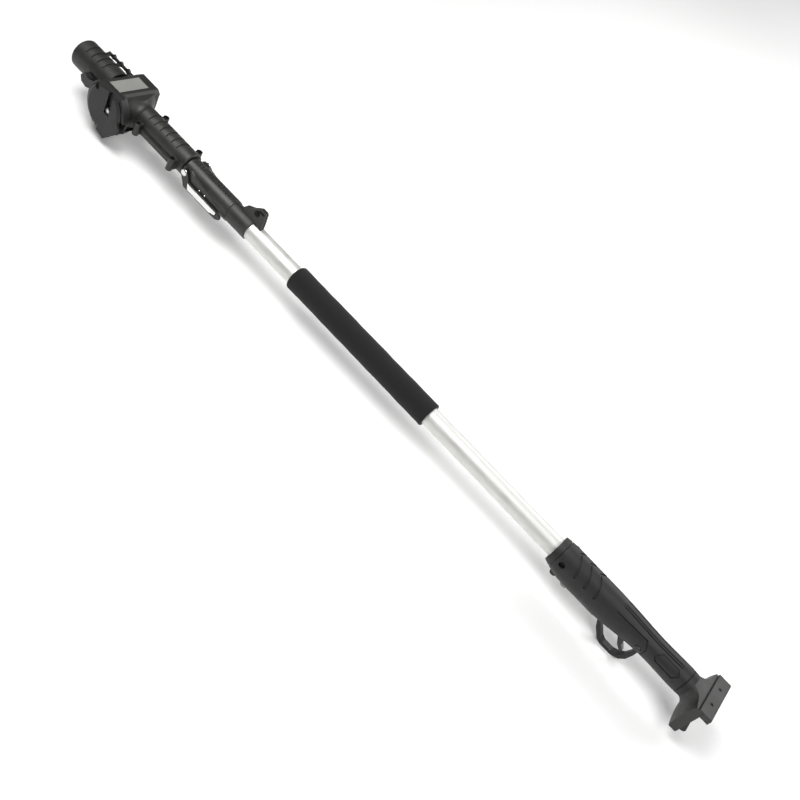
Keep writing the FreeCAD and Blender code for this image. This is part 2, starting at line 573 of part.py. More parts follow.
def make_clamp():
    """Flip-lock clamp: sleeve with cheeks, bush, pins, rivets, lever and its bright strips."""
    sleeve = turned("sleeve", [("clamp_front", "slider_radius + 1.4"), ("clamp_front", "clamp_radius - 1"),
                               ("clamp_front + 1", "clamp_radius"), ("collar_front - 0.6", "clamp_radius"),
                               ("collar_front", "clamp_radius - 0.8"), ("collar_front", "tube_radius"),
                               ("clamp_step", "tube_radius"), ("clamp_step", "slider_radius + 1.4")])
    cheeks = []
    for side in (-1, 1):
        cheeks.append(plate(f"cheek_{side + 1}", [("clamp_front + 2", -2), ("clamp_front + 2", 10),
                                                  ("clamp_front + 6", 13), ("pin_x + 8", 13),
                                                  ("pin_x + 16", 9), ("collar_front - 3", -1),
                                                  ("collar_front - 3", -4), ("pin_x + 34", -9),
                                                  ("pin_x + 8", -9), ("clamp_front + 4", -5)],
                            "19.6" if side > 0 else "-15.4", 4.2))
    ridge = box("ridge", "clamp_front + 6", "collar_front - 4", -5, 5, 15.4, "clamp_radius + 0.9")
    notches = [box(f"notch_{index}", f"clamp_front + 9 + {index} * tooth_pitch",
                   f"clamp_front + 11.6 + {index} * tooth_pitch", -6, 6, "clamp_radius - 0.9",
                   "clamp_radius + 3") for index in range(14)]
    slit = box("clamp_slit", "clamp_front - 5", "clamp_step - 6", -1.2, 1.2, -30, 0)
    holes = [rod("clamp_pin_holes", "y", 2.5, "pin_x", -30, "pin_z", 60)]
    solid = join("clamp_solid", sleeve, *cheeks, ridge)
    hand_in(cut("clamp", solid, slit, *notches, *holes), "clamp_body")
    sleeve_bush = ring("clamp_liner", "x", "slider_radius + 1.4", "slider_radius + clamp_gap",
                       "clamp_front", 0, 0, "clamp_step - clamp_front")
    liner_slit = box("liner_slit", "clamp_front - 5", "clamp_step + 5", -1.2, 1.2, -30, 0)
    hand_in(cut("clamp_liner_split", sleeve_bush, liner_slit), "clamp_bush")
    pins = []
    for side in (-1, 1):
        points = [(0, 0), (0, 2.5), (f"{side} * 9", 2.5), (f"{side} * 9", "pin_head"),
                  (f"{side} * 10.4", "pin_head"), (f"{side} * 11.4", "pin_head - 1.2"),
                  (f"{side} * 11.4", 0)]
        pins.append(turned(f"pin_{side + 1}", points, "y", "pin_x", f"{side} * 14.2", "pin_z"))
    hand_in(group("pin_pair", *pins), "clamp_pins")
    rivets = [turned(f"rivet_{index}_{side + 1}",
                     [(0, 0), (0, 1.4), (f"{side} * 0.9", 0.9), (f"{side} * 0.9", 0)], "y",
                     f"pin_x + 34 + {index} * 12", f"{side} * 19.6", f"-3 + {index} * 0.6")
              for index in range(2) for side in (-1, 1)]
    hand_in(group("rivet_set", *rivets), "clamp_rivets")
    arms = []
    for side in (-1, 1):
        y_high = "arm_out" if side > 0 else "-arm_in"
        arm = plate(f"arm_{side + 1}", [("pin_x - 5", -2), ("pin_x - 6", 6), ("pin_x - 2", 10.6),
                                        ("pin_x + 4", 10.4), ("pin_x + 8", 5), ("pin_x + 13", -4),
                                        ("lever_end - 14", -4.5), ("lever_end - 2", -6.5),
                                        ("lever_end", -8.5), ("lever_end", -12.5),
                                        ("lever_end - 4", -15.5), ("lever_end - 22", "lever_bottom"),
                                        ("pin_x + 13", "lever_bottom"), ("pin_x + 7", -18)],
                    y_high, "arm_out - arm_in")
        arms.append(cut(f"arm_drilled_{side + 1}", arm,
                        rod(f"arm_hole_{side + 1}", "y", "2.5 + running_gap", "pin_x", -30,
                            "pin_z", 60)))
    bridge = plate("bridge", [("pin_x + 27", "lever_top"), ("lever_end - 16", "lever_top"),
                              ("lever_end - 22", "lever_bottom"), ("pin_x + 29", "lever_bottom"),
                              ("pin_x + 27", "lever_bottom + 1.5")],
                   "arm_in + 0.4", "2 * arm_in + 0.8")
    lever_limit = rod("lever_limit", "x", 28.4, "clamp_front - 10", 0, 0, 120)
    hand_in(overlap("lever", join("lever_solid", bridge, *arms), lever_limit), "lock_lever")
    strips = [plate(f"strip_{side + 1}", [("pin_x + 16", -15.5), ("lever_end - 22", -15.5),
                                          ("lever_end - 10", -11.5), ("lever_end - 10", -6.8),
                                          ("pin_x + 13", -6.5)],
                    "arm_out + 0.9" if side > 0 else "-arm_out", 0.9) for side in (-1, 1)]
    hand_in(group("strip_pair", *strips), "lever_strips")


def make_collar():
    """Split collar that closes on the tube; its two ears hold the screw and the strap slot."""
    band = turned("band", [("collar_front", "tube_radius"), ("collar_front", "collar_radius"),
                           ("collar_back - 1", "collar_radius"), ("collar_back", "collar_radius - 1"),
                           ("collar_back", "tube_radius")])
    ear = plate("ear", [("ear_x - 25", 12), ("ear_x - 25", 24), ("ear_x - 22", 28.5),
                        ("ear_x - 10", 34.5), ("ear_x - 2", 41), ("ear_x + 3", "ear_top"),
                        ("ear_x + 12", "ear_top"), ("ear_x + 14.5", "ear_top - 3"),
                        ("ear_x + 16", 30), ("ear_x + 17", 21), ("ear_x + 17", 12)],
                "ear_half", "2 * ear_half")
    bore = rod("collar_bore", "x", "tube_radius", "collar_front - 5", 0, 0, 90)
    split = box("collar_split", "collar_front - 5", "ear_x + 40", -0.9, 0.9, 0, 60)
    hole = rod("collar_hole", "y", 2.5, "ear_x", -20, "ear_screw_z", 40)
    sinks = [rod(f"collar_sink_{index}", "y", 4.8, "ear_x", y, "ear_screw_z", 3)
             for index, y in enumerate(("-ear_half - 2.2", "ear_half - 0.8"))]
    slot = box("strap_slot", "ear_x + 2.5", "ear_x + 12.5", -10, 10, "slot_z - 2.2", "slot_z + 2.2")
    hand_in(cut("collar", join("collar_solid", band, ear), bore, split, hole, slot, *sinks),
            "collar_ring")
    bolt = screw("collar_bolt", "y", 4.4, 2.5, ("ear_x", "-ear_half - 1.6", "ear_screw_z"), 2.4,
                 "2 * ear_half + 2.8")
    hand_in(bolt, "collar_screw")
    nut = doc.addObject("Part::Prism", "collar_nut_hexagon")
    nut.Polygon = 6
    nut.Circumradius = 4.5
    nut.Height = 2.6
    nut.Placement = FreeCAD.Placement(Vector(), TURN["y"])
    place(nut, "ear_x", "ear_half - 0.8", "ear_screw_z")
    nut_bore = rod("collar_nut_bore", "y", 2.5, "ear_x", 0, "ear_screw_z", 12)
    hand_in(cut("collar_nut_drilled", nut, nut_bore), "collar_nut")


# Handle sections: place along the pole, half width, top and bottom from the pole's axis.
HANDLE = [("mouth", 20.6, 20.8, -21.2), ("mouth + 8", 21.6, 22.4, -25), ("mouth + 24", 22, 24, -30),
          ("mouth + 60", 22, 24.2, -31.5), ("mouth + 98", 21.6, 24, -30.5),
          ("mouth + 128", 20, 23.4, -26), ("mouth + 158", 18.4, 21.6, -21.2),
          ("mouth + 190", 17.6, 20.6, -19.8), ("handle_end", 17.4, 20.4, -19.8)]


def handle_skin(name, inset):
    """The handle's outer form, drawn in by an inset."""
    return loft(name, [(x, f"{half} - {inset}", f"{top} - {inset}", f"{bottom} + {inset}")
                       for x, half, top, bottom in HANDLE])


def outline_groove(name, points, width, turn):
    """A closed line of grooves on the grip, cut as a prism that points out at an angle."""
    body = doc.addObject("PartDesign::Body", name)
    pad = body.newObject("PartDesign::Pad", name + "_pad")
    pad.Profile = sketch_outline(body, "XZ_Plane", points)
    pad.Length = 40
    body.Tip = pad
    inner = doc.addObject("PartDesign::Body", name + "_inner")
    middle_x = sum(number(x) for x, _ in points) / len(points)
    middle_z = sum(number(z) for _, z in points) / len(points)
    drawn_in = [(f"{x} {'-' if number(x) > middle_x else '+'} {width}",
                 f"{z} {'-' if number(z) > middle_z else '+'} {width}") for x, z in points]
    inner_pad = inner.newObject("PartDesign::Pad", name + "_inner_pad")
    inner_pad.Profile = sketch_outline(inner, "XZ_Plane", drawn_in)
    inner_pad.Length = 40
    inner.Tip = inner_pad
    for item in (body, inner):
        item.Placement = FreeCAD.Placement(Vector(), Rotation(Vector(1, 0, 0), turn))
        place(item, 0, 0, 0)
    return cut(name + "_line", body, inner)


def make_handle():
    """Two handle halves with the guard, chevrons, rubber outline and trigger slot."""
    outer = handle_skin("handle_outer", 0)
    wall = handle_skin("handle_wall_skin", "handle_wall")
    skin = cut("handle_skin_band", handle_skin("handle_outer_copy", 0),
               handle_skin("handle_skin_floor", "skin"))
    front_stop = box("inner_stop", "mouth + 9", "handle_end - 4", -40, 40, -60, 40)
    hollow = overlap("handle_hollow", wall, front_stop)
    guard = plate("guard", [("mouth + 102", -24), ("mouth + 113", -43), ("mouth + 124", -55),
                            ("mouth + 133", -60), ("mouth + 152", -60), ("mouth + 164", -55),
                            ("mouth + 170", -45), ("mouth + 172", -32), ("mouth + 172.5", -14),
                            ("mouth + 167", -14), ("mouth + 166.5", -33), ("mouth + 164", -44),
                            ("mouth + 158", -51), ("mouth + 150", -55), ("mouth + 135", -55),
                            ("mouth + 128", -51), ("mouth + 118", -39), ("mouth + 109", -24)],
                  "guard_half", "2 * guard_half")
    clear = handle_skin("guard_clear", "handle_wall")
    guard_out = cut("guard_outside", guard, clear)
    slabs = []
    for index in range(3):
        apex = f"chevron_x + {index} * chevron_pitch"
        for side in (-1, 1):
            slab = box(f"chevron_{index}_{side + 1}", 0, "chevron_width", 0, 34, 3, 40)
            angle = -36 if side > 0 else 216 - 180
            slab.Placement = FreeCAD.Placement(Vector(), Rotation(Vector(0, 0, 1), angle))
            if side > 0:
                place(slab, apex, 0, 3)
            else:
                place(slab, f"{apex} - 34 * sin(-36)", "-34 * cos(36)", 3)
            slabs.append(slab)
    ring_slot = box("grip_ring", "handle_end - 10", "handle_end - 8.6", -40, 40, -40, 40)
    mouth_step = box("mouth_step", "mouth + 9.4", "mouth + 10.6", -40, 40, -40, 40)
    lines = [box(f"top_line_{index}", "mouth + 115", "mouth + 221", f"{y} - 0.6", f"{y} + 0.6", 5,
                 40) for index, y in enumerate((-7.5, -4, 4, 7.5))]
    panels = [outline_groove(f"panel_{tag}", [("handle_end - 60", -4), ("handle_end - 54", 7),
                                              ("handle_end - 26", 7), ("handle_end - 20", 0),
                                              ("handle_end - 25", -9), ("handle_end - 54", -9)],
                             1.2, turn) for tag, turn in (("near", -36), ("far", 216))]
    smooth_edge = plate("smooth_edge", [("mouth + 112", 13.4), ("mouth + 165.6", 13.4),
                                        ("mouth + 172.8", 4), ("mouth + 172.8", -20.5),
                                        ("mouth + 174", -20.5), ("mouth + 174", 4.4),
                                        ("mouth + 166.2", 14.6), ("mouth + 112", 14.6)], 40, 80)
    cutter = overlap("skin_grooves", skin, join("groove_lines", *slabs, ring_slot, mouth_step,
                                                *lines, *panels, smooth_edge))
    seat = rod("tube_seat", "x", "tube_radius", "mouth - 5", 0, 0, "tube_back - mouth + 5")
    slot = box("trigger_slot", "mouth + 125", "mouth + 164", "-slot_half", "slot_half", -40, -14)
    bolt_hole = rod("bolt_hole", "y", 2.5, "bolt_x", -40, 4, 80)
    bolt_sinks = [rod("bolt_sink_near", "y", 5, "bolt_x", -40, 4, 24.4)]
    button_hole = rod("button_hole", "y", "button_radius + 0.25", "button_x", -40, "button_z", 80)
    strip_seat = box("strip_seat", "mouth + 28", "mouth + 98", -6.2, 6.2, -40, -29.2)
    bosses = [rod(f"belly_boss_{side + 1}", "y", 5.5, "bolt_x", "2" if side > 0 else "-12", -24.5,
                  10) for side in (-1, 1)]
    seats = [ring(f"tube_rib_{index}", "x", 26, "tube_radius", x, 0, 0, 4)
             for index, x in enumerate(("mouth + 40", "tube_back - 10"))]
    ribs = overlap("tube_ribs", join("tube_rib_pair", *seats), handle_skin("rib_limit", 1))
    bolt_pillar = overlap("bolt_pillar", rod("pillar", "y", 7, "bolt_x", -21, 4, 42),
                          handle_skin("pillar_limit", 1))
    pin_bosses = [ring(f"pin_boss_{index}", "y", 4.5, 2, "mouth + 134", y, -9, 12.4)
                  for index, y in enumerate((-17, 4.6))]
    shell = join("handle_shell", cut("handle_hollowed", outer, hollow), guard_out, ribs,
                 bolt_pillar, *bosses, *pin_bosses)
    whole = cut("handle_whole", shell, cutter, seat, slot, bolt_hole, *bolt_sinks, button_hole,
                strip_seat)
    sides = {"left": ("-50", "0"), "right": ("0", "50")}
    for side, (low, high) in sides.items():
        half = box(f"half_{side}", "mouth - 5", "handle_end + 5", low, high, -80, 60)
        hand_in(overlap(f"handle_{side}_solid", whole, half), f"handle_{side}")


def make_handle_parts():
    """Cross bolt, belly strip, trigger, spring, switch, board and lock-off button."""
    bolt = screw("cross_bolt", "y", 4.6, 2.5, ("bolt_x", -18.6, 4), 3, 41.6)
    dome = turned("bolt_dome", [(0, 2.5), (0, 5.2), (3, 5), (5, 3.8), (6, 2), (6.2, 0), (3, 0),
                                (3, 2.5)], "y", "bolt_x", 22.1, 4)
    hand_in(bolt, "tube_bolt")
    hand_in(dome, "bolt_nut")
    strip = box("strip", "mouth + 28.2", "mouth + 97.8", -6, 6, -32.6, -29.2)
    bump = rod("strip_bump", "z", 5.5, "mouth + 43", 0, -37, 6)
    hand_in(join("belly", strip, bump), "belly_strip")
    trigger = plate("trigger_blade", [("mouth + 129", -4), ("mouth + 146", -4),
                                      ("mouth + 152", -12), ("mouth + 149", -22),
                                      ("mouth + 152", -33), ("mouth + 159.5", -42),
                                      ("mouth + 157.5", -44.5), ("mouth + 148", -38),
                                      ("mouth + 141", -28), ("mouth + 136", -18),
                                      ("mouth + 127", -12)],
                    "trigger_half", "2 * trigger_half")
    pivot = rod("trigger_bore", "y", "2 + running_gap", "mouth + 134", -20, -9, 40)
    hand_in(cut("trigger_drilled", trigger, pivot), "trigger")
    hand_in(rod("pivot_pin", "y", 2, "mouth + 134", -14, -9, 28), "trigger_pin")
    coil = doc.addObject("Part::Helix", "coil")
    coil.Pitch = 2
    coil.Height = 7
    coil.Radius = 2.6
    wire = doc.addObject("Part::Circle", "wire")
    wire.Radius = 0.45
    wire.Placement = FreeCAD.Placement(Vector(2.6, 0, 0), Rotation(Vector(0, 0, 1), Vector(0, 1, 0)))
    spring = doc.addObject("Part::Sweep", "spring")
    spring.Sections = [wire]
    spring.Spine = (coil, [])
    spring.Solid = True
    spring.Frenet = True
    spring.Placement = FreeCAD.Placement(Vector(), TURN["x"])
    place(spring, "mouth + 153.7", 0, -12.5)
    hand_in(spring, "trigger_spring")
    hand_in(box("switch", "mouth + 140", "mouth + 163", -8, 8, 2, 15), "power_switch")
    hand_in(box("board", "mouth + 174", "mouth + 222", -12, 12, -1, 1), "control_board")
    button = turned("button_body", [(0, 0), (0, "button_radius - 1"), (1, "button_radius"),
                                    (33, "button_radius"), (34, "button_radius - 1"), (34, 0)],
                    "y", "button_x", -19.5, "button_z")
    hand_in(button, "lock_off_button")


def make_foot():
    """Battery foot: flare, wall with a recessed back, lip, rails, terminals and bottom stop."""
    flare = loft("foot_flare", [("handle_end", 17.4, 20.4, -19.8), ("handle_end + 5", 19, 22, -22.5),
                                ("handle_end + 12", 29, 25, -35), ("wall_front", 50, 40, -62)])
    flare_limit = box("foot_flare_limit", "handle_end", "wall_front", "-foot_half", "foot_half",
                      "foot_bottom", "foot_top")
    wall = box("foot_wall", "wall_front", "wall_back - 1", "-foot_half", "foot_half",
               "foot_bottom", "foot_top")
    face = box("foot_face", "wall_back - 1", "wall_back", "-foot_half", "foot_half",
               "foot_bottom", "lip_bottom - 0.2")
    hollow = box("foot_hollow", "handle_end + 6", "wall_front + 6", -12, 12, -14, 12)
    recess = box("foot_recess", "wall_back - 5", "wall_back + 1", -29, 29, "foot_bottom - 1",
                 "lip_bottom - 1")
    chamfers = [plate(f"foot_chamfer_{side + 1}", [("handle_end - 5", "foot_bottom - 5"),
                                                   ("wall_back + 5", "foot_bottom - 5"),
                                                   ("wall_back + 5", "foot_bottom + 4"),
                                                   ("handle_end - 5", "foot_bottom + 4")],
                      "foot_half + 5" if side > 0 else "-foot_half + 4", 9) for side in (-1, 1)]
    body = join("foot_solid", overlap("foot_flare_trimmed", flare, flare_limit), wall,
                face)
    hand_in(cut("foot", body, hollow, recess, *chamfers), "battery_foot")
    lip = plate("lip", [("lip_front", "foot_top"), ("lip_front", "lip_top - 1"),
                        ("lip_front + 1", "lip_top"), ("lip_back - 2", "lip_top"),
                        ("lip_back", "lip_top - 2"), ("lip_back", "lip_bottom"),
                        ("wall_back - 1", "lip_bottom"), ("wall_back - 1", "foot_top")],
                "lip_half", "2 * lip_half")
    holes = [rod(f"lip_hole_{index}", "z", 2.4, "lip_front + 10", f"{y}", "lip_top - 1.6", 5)
             for index, y in enumerate((-16, 16))]
    shanks = [rod(f"lip_shank_{index}", "z", 1.2, "lip_front + 10", y, "lip_top - 6.5", 8)
              for index, y in enumerate((-16, 16))]
    hand_in(cut("lip_drilled", lip, *holes, *shanks), "foot_top_plate")
    screws = [screw(f"lip_screw_{index}", "z", 2.3, 1.2, ("lip_front + 10", y, "lip_top - 0.5"),
                    1.1, 6, -1) for index, y in enumerate((-16, 16))]
    hand_in(group("lip_screw_pair", *screws), "foot_screws")
    rails = [plate(f"rail_{side + 1}", [("wall_back - 5", "foot_bottom + 14"),
                                        ("wall_back", "foot_bottom + 14"),
                                        ("wall_back", "lip_bottom - 1"),
                                        ("wall_back - 5", "lip_bottom - 1")],
                   "29" if side > 0 else "-25", 4) for side in (-1, 1)]
    hand_in(group("rail_pair", *rails), "battery_rails")
    hand_in(box("terminals", "wall_back - 5", "wall_back - 0.5", -15, 15, -8, 6), "terminal_block")
    blades = [box(f"terminal_{index}", "wall_back - 0.5", "wall_back + 5", f"{y} - 0.4",
                  f"{y} + 0.4", -5, 3) for index, y in enumerate((-10, -4, 4, 10))]
    hand_in(group("terminal_set", *blades), "terminal_blades")
    stop = box("stop_bar", "wall_back - 4.8", "wall_back + 4", -28.6, 28.6, "foot_bottom + 1",
               "foot_bottom + 11")
    nose = rod("stop_nose", "y", 5, "wall_back + 4", -28.6, "foot_bottom + 6", 57.2)
    hand_in(join("stop", stop, nose), "battery_stop")


make_motor()
make_gears()
make_gearbox()
make_cover()
make_head_trim()
make_neck()
make_pole()
make_clamp()
make_collar()
make_handle()
make_handle_parts()
make_foot()
doc.recompute()

failed = [item.Name for item in doc.Objects if {"Invalid", "Error"} & set(item.State)]
if failed:
    raise RuntimeError(f"objects that failed: {failed}")
os.makedirs("parts", exist_ok=True)
for item in parts:
    shape = item.Shape
    if shape.isNull() or not shape.isValid() or not shape.Solids:
        raise RuntimeError(f"{item.Label} has no valid solid")
    shape.exportStep(f"parts/{item.Label}.step")
    print(item.Label, len(shape.Solids), round(shape.Volume))
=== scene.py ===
import math
import bmesh
import bpy
from mathutils import Matrix, Vector


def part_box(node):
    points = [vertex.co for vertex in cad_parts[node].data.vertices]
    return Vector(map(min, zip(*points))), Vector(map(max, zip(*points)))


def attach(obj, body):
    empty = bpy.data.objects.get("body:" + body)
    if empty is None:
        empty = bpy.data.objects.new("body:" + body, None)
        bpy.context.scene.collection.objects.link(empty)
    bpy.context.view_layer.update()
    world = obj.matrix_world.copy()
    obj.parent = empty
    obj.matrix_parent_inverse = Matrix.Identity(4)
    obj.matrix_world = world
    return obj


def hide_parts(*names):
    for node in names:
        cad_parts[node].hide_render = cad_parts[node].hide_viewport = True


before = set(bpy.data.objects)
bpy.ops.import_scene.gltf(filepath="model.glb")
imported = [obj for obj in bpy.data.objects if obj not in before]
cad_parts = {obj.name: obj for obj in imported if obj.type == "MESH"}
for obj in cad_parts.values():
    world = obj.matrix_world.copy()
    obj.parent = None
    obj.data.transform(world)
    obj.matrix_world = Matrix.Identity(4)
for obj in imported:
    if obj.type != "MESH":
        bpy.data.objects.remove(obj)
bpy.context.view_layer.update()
MM = 0.001
DEGREE = math.pi / 180

# ---------------------------------------------------------------------------
# Camera: high on the sprocket cover's side, rolled so that the pole runs from the upper
# left to the lower right corner of a square picture.
camera_place = (0.3243, -0.9888, 0.9334)
camera_heading, camera_dip, camera_roll = 14, 41.14, 36.93
camera_data = bpy.data.cameras.new("camera")
camera_data.sensor_width = 36
camera_data.lens = 42.75
camera = bpy.data.objects.new("camera", camera_data)
bpy.context.scene.collection.objects.link(camera)
bpy.context.scene.camera = camera
camera_turn = (Matrix.Rotation(camera_heading * DEGREE, 4, "Z")
               @ Matrix.Rotation((90 - camera_dip) * DEGREE, 4, "X")
               @ Matrix.Rotation(camera_roll * DEGREE, 4, "Z"))
camera.matrix_world = Matrix.Translation(camera_place) @ camera_turn


# ---------------------------------------------------------------------------
# Studio: a painted white floor in an even white room, with a broad soft box above the
# head, one beside the foot, one behind the pole and a large one over the far floor, whose
# light also reaches the foot's back.
def linear(code):
    """An sRGB hex colour as linear RGBA."""
    parts = [int(code[start:start + 2], 16) / 255 for start in (1, 3, 5)]
    return [part / 12.92 if part <= 0.04045 else ((part + 0.055) / 1.055) ** 2.4
            for part in parts] + [1]


def add(tree, kind, settings, sockets):
    """Adds a shader node with its settings; an input given a socket is linked to it."""
    made = tree.nodes.new("ShaderNode" + kind)
    for name, value in settings.items():
        setattr(made, name, value)
    for name, value in sockets.items():
        if isinstance(value, bpy.types.NodeSocket):
            tree.links.new(value, made.inputs[name])
        else:
            made.inputs[name].default_value = value
    return made


def blank(name):
    """A new material and its empty node tree."""
    material = bpy.data.materials.new(name)
    material.use_nodes = True
    material.node_tree.nodes.clear()
    return material, material.node_tree


# Wall and floor emulsion: nearly white and matt, a little uneven from the roller.
roller_mottle = 40
floor_reach = 6
floor_paint, tree = blank("matt white floor paint")
place = add(tree, "TexCoord", {}, {}).outputs["Object"]
mottle = add(tree, "TexNoise", {}, {"Vector": place, "Scale": 1 / (roller_mottle * MM),
                                    "Detail": 4})
sheen = add(tree, "MapRange", {}, {"Value": mottle.outputs["Fac"], "To Min": 0.62, "To Max": 0.78})
paint = add(tree, "BsdfPrincipled", {}, {"Base Color": linear("#f1f1f0"), "IOR": 1.5,
                                         "Roughness": sheen.outputs["Result"]})
add(tree, "OutputMaterial", {}, {"Surface": paint.outputs[0]})
floor_form = bmesh.new()
bmesh.ops.create_grid(floor_form, x_segments=2, y_segments=2, size=floor_reach)
floor_mesh = bpy.data.meshes.new("floor")
floor_form.to_mesh(floor_mesh)
floor_form.free()
floor = bpy.data.objects.new("floor", floor_mesh)
floor_mesh.materials.append(floor_paint)
bpy.context.scene.collection.objects.link(floor)

room = bpy.data.worlds.new("white room")
room.use_nodes = True
room.node_tree.nodes["Background"].inputs["Color"].default_value = linear("#fbfcff")
room.node_tree.nodes["Background"].inputs["Strength"].default_value = 0.18
bpy.context.scene.world = room
bpy.context.scene.view_settings.view_transform = "Standard"
pole_middle = (0, 0, 0.05)
far_floor = (2.0, 4.2, 0)
for lamp_name, spot, aim, wide, watts in (("key", (-0.8, -0.5, 1.9), pole_middle, 1.2, 40),
                                          ("fill", (1.5, -1.0, 1.6), pole_middle, 1.4, 25),
                                          ("rim", (0.2, 1.9, 1.6), pole_middle, 1.4, 18),
                                          ("backdrop", (1.8, 3.2, 2.6), far_floor, 2.5, 160)):
    lamp_data = bpy.data.lights.new(lamp_name, "AREA")
    lamp_data.size = wide
    lamp_data.energy = watts
    lamp = bpy.data.objects.new(lamp_name, lamp_data)
    lamp_turn = (Vector(aim) - Vector(spot)).to_track_quat("-Z", "Y").to_matrix().to_4x4()
    lamp.matrix_world = Matrix.Translation(spot) @ lamp_turn
    bpy.context.scene.collection.objects.link(lamp)


# ---------------------------------------------------------------------------
# Motor at the head's tip: a ribbed housing and end cap moulded in dark glass-filled
# nylon, with a fine spark-eroded grain. The cap is pressed on; its edges get a painted highlight.
def moulded(name, colour, cloud_and_painted_highlight, roughness, grain, relief):
    """Moulded material: the grain of the tool's surface and its relief are in mm."""
    melt_cloud = 30
    round_edge = 0.5
    material, tree = blank(name)
    place = add(tree, "TexCoord", {}, {}).outputs["Object"]
    fine = add(tree, "TexNoise", {}, {"Vector": place, "Scale": 1 / (grain * MM), "Detail": 3,
                                      "Roughness": 0.6})
    flow = add(tree, "TexNoise", {}, {"Vector": place, "Scale": 1 / (melt_cloud * MM),
                                      "Detail": 5, "Roughness": 0.65, "Distortion": 0.4})
    edge_turn = add(tree, "Bevel", {"samples": 6}, {"Radius": round_edge * MM})
    facing = add(tree, "NewGeometry", {}, {})
    match = add(tree, "VectorMath", {"operation": "DOT_PRODUCT"},
                {0: edge_turn.outputs["Normal"], 1: facing.outputs["Normal"]})
    # Painted highlight: the colour is lightened where the rounded edge normal turns away from the
    # face normal, so edges look as if they catch the light.
    edge = add(tree, "MapRange", {}, {"Value": match.outputs["Value"], "From Min": 0.98,
                                      "From Max": 0.8, "To Min": 0, "To Max": 0.45})
    patch = add(tree, "MapRange", {}, {"Value": flow.outputs["Fac"], "From Min": 0.35,
                                       "From Max": 0.7, "To Min": 0, "To Max": 0.5})
    speck = add(tree, "MapRange", {}, {"Value": fine.outputs["Fac"], "From Min": 0.3,
                                       "From Max": 0.75, "To Min": -0.08, "To Max": 0.14})
    # The lighter colour mixes in for the cloud and grain specks, which the nylon has, and for the
    # painted edge highlight.
    share = add(tree, "Math", {"operation": "ADD"}, {0: patch.outputs[0], 1: speck.outputs[0]})
    share = add(tree, "Math", {"operation": "ADD", "use_clamp": True},
                {0: share.outputs[0], 1: edge.outputs[0]})
    tint = add(tree, "Mix", {"data_type": "RGBA"}, {0: share.outputs[0], 6: linear(colour),
                                                    7: linear(cloud_and_painted_highlight)})
    matt = add(tree, "MapRange", {}, {"Value": flow.outputs["Fac"], "From Min": 0.3,
                                      "From Max": 0.7, "To Min": roughness - 0.05,
                                      "To Max": roughness + 0.06})
    bump = add(tree, "Bump", {}, {"Strength": 0.8, "Distance": relief * MM,
                                  "Height": fine.outputs["Fac"],
                                  "Normal": edge_turn.outputs["Normal"]})
    skin = add(tree, "BsdfPrincipled", {}, {"Base Color": tint.outputs[2], "IOR": 1.53,
                                            "Roughness": matt.outputs[0],
                                            "Normal": bump.outputs["Normal"]})
    add(tree, "OutputMaterial", {}, {"Surface": skin.outputs[0]})
    return material


def dress(material, *names):
    """Gives CAD nodes their finish."""
    for name in names:
        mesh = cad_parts[name].data
        mesh.materials.clear()
        mesh.materials.append(material)


# Glass-filled nylon with a grain of 0.7 mm, a little coarser than the real 0.3 mm so that
# it shows: dull, slightly cloudy dark grey.
head_nylon = moulded("spark-grained glass-filled nylon, dark grey", "#121210", "#272623",
                     roughness=0.52, grain=0.7, relief=0.06)
dress(head_nylon, "motor_housing", "motor_end_cap")


# ---------------------------------------------------------------------------
# Motor inside: drawn steel can, ferrite magnets, laminated rotor core on a ground
# shaft, copper commutator, nylon fan and two shielded bearings.
def metal(name, colour, shade, roughness, line_along, line_apart, relief):
    """Worked metal: tool lines run along the named axes, line_apart mm from each other."""
    line_length = 60
    stain_width = 18
    round_edge = 0.25
    material, tree = blank(name)
    place = add(tree, "TexCoord", {}, {}).outputs["Object"]
    spans = [line_length if axis in line_along else line_apart for axis in "xyz"]
    stretched = add(tree, "Mapping", {}, {"Vector": place,
                                          "Scale": [1 / (span * MM) for span in spans]})
    lines = add(tree, "TexNoise", {}, {"Vector": stretched.outputs[0], "Scale": 1, "Detail": 4,
                                       "Roughness": 0.6})
    stain = add(tree, "TexNoise", {}, {"Vector": place, "Scale": 1 / (stain_width * MM),
                                       "Detail": 4})
    edge_turn = add(tree, "Bevel", {"samples": 6}, {"Radius": round_edge * MM})
    share = add(tree, "MapRange", {}, {"Value": lines.outputs["Fac"], "From Min": 0.3,
                                       "From Max": 0.75, "To Min": 0, "To Max": 0.7})
    tint = add(tree, "Mix", {"data_type": "RGBA"}, {0: share.outputs[0], 6: linear(colour),
                                                    7: linear(shade)})
    gloss = add(tree, "MapRange", {}, {"Value": stain.outputs["Fac"], "From Min": 0.3,
                                       "From Max": 0.7, "To Min": roughness - 0.05,
                                       "To Max": roughness + 0.08})
    bump = add(tree, "Bump", {}, {"Strength": 0.6, "Distance": relief * MM,
                                  "Height": lines.outputs["Fac"],
                                  "Normal": edge_turn.outputs["Normal"]})
    skin = add(tree, "BsdfPrincipled", {}, {"Base Color": tint.outputs[2], "Metallic": 1.0,
                                            "Roughness": gloss.outputs[0],
                                            "Normal": bump.outputs["Normal"]})
    add(tree, "OutputMaterial", {}, {"Surface": skin.outputs[0]})
    return material


# Drawn and zinc-washed sheet steel: dull bright grey with draw lines along the can.
dress(metal("drawn steel sheet", "#8e9092", "#6f7174",
            roughness=0.42, line_along="x", line_apart=0.8, relief=0.02), "motor_can")
# Sintered ferrite: charcoal, matt and gritty, so it is a ceramic and not a metal.
dress(moulded("sintered ferrite magnet", "#2c2b2b", "#454342",
              roughness=0.75, grain=0.5, relief=0.05), "stator_magnets")
# Stacked 0.5 mm laminations, varnished: lines run round the core, one per sheet.
dress(metal("varnished lamination stack", "#6a6763", "#3d3a36",
            roughness=0.5, line_along="yz", line_apart=0.5, relief=0.05), "rotor_core")
